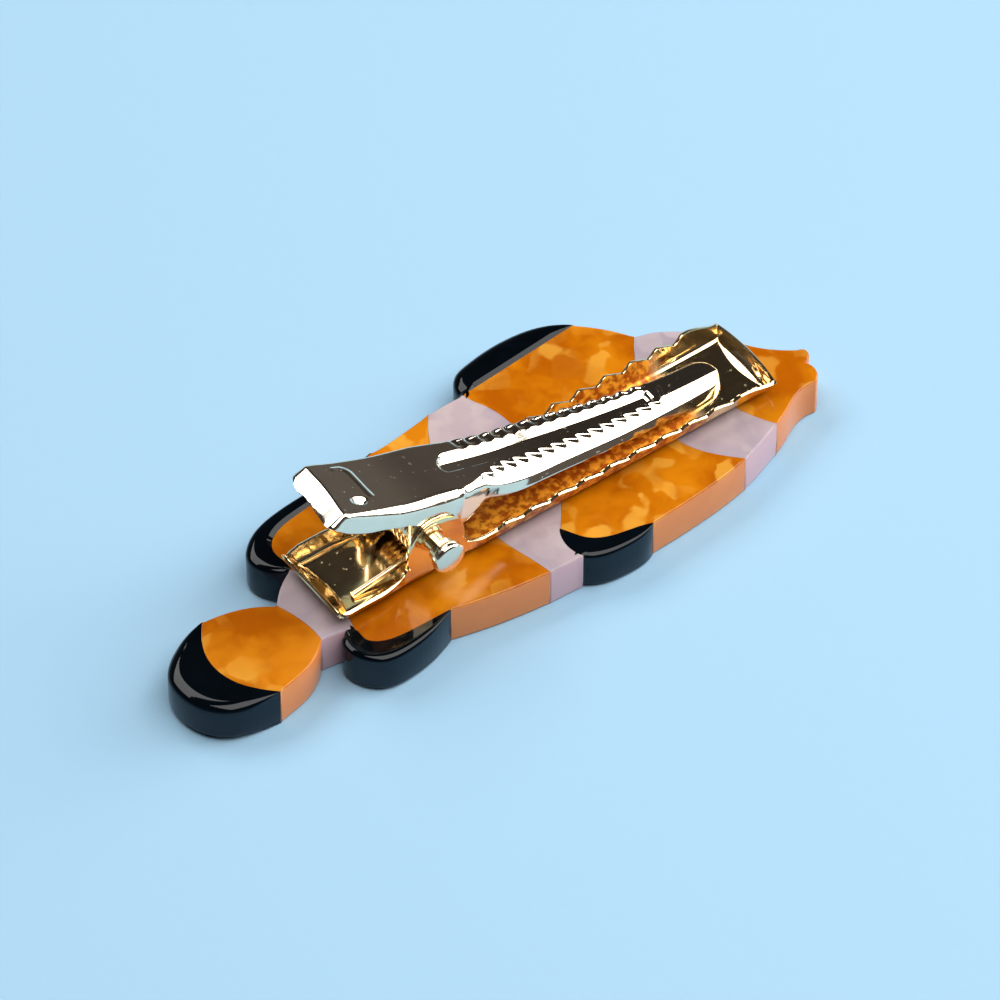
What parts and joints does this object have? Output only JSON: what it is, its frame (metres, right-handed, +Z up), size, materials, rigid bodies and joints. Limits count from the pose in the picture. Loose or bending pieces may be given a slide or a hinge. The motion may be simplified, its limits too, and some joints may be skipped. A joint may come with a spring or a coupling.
{
  "type": "hair clip",
  "caption": "Fish-shaped inlaid acetate hair clip with a sprung, toothed metal alligator clip on its flat back.",
  "frame": {"origin": "middle of the ornament's outline, on the surface it lies on", "axes": "+X from the fish's tail to its mouth, +Y from its belly to its back, +Z up out of the flat back that carries the clip"},
  "size_m": [0.065, 0.0252, 0.0169],
  "materials": {
    "orange_acetate": "polished, marbled",
    "pearl_acetate": "polished, pearly",
    "black_acetate": "polished",
    "gold_plate": "mirror-bright gold plate on steel",
    "rivet_metal": "gold plate on steel, duller on the ends",
    "spring_wire": "gold-plated spring wire"
  },
  "bodies": {
    "fish": {"tail_fin": "orange_acetate", "rear_body": "orange_acetate", "front_body": "orange_acetate", "head": "orange_acetate", "tail_stripe": "pearl_acetate", "middle_stripe": "pearl_acetate", "head_stripe": "pearl_acetate", "tail_edge": "black_acetate", "rear_dorsal_edge": "black_acetate", "anal_fin_edge": "black_acetate", "dorsal_edge": "black_acetate", "pelvic_edge": "black_acetate", "base_jaw": "gold_plate", "pin": "rivet_metal", "spring_coil": "spring_wire"},
    "lever": {"lever": "gold_plate", "spring_arm": "spring_wire"}
  },
  "joints": [
    {"name": "lever_hinge", "type": "hinge", "parent": "fish", "child": "lever", "pos_m": [-0.0078, -0.00225, 0.00783], "axis": [0, -1, 0], "range_deg": [0, 40], "stiffness_Nm_per_rad": 0.1, "springref_deg": -45.84}
  ]
}
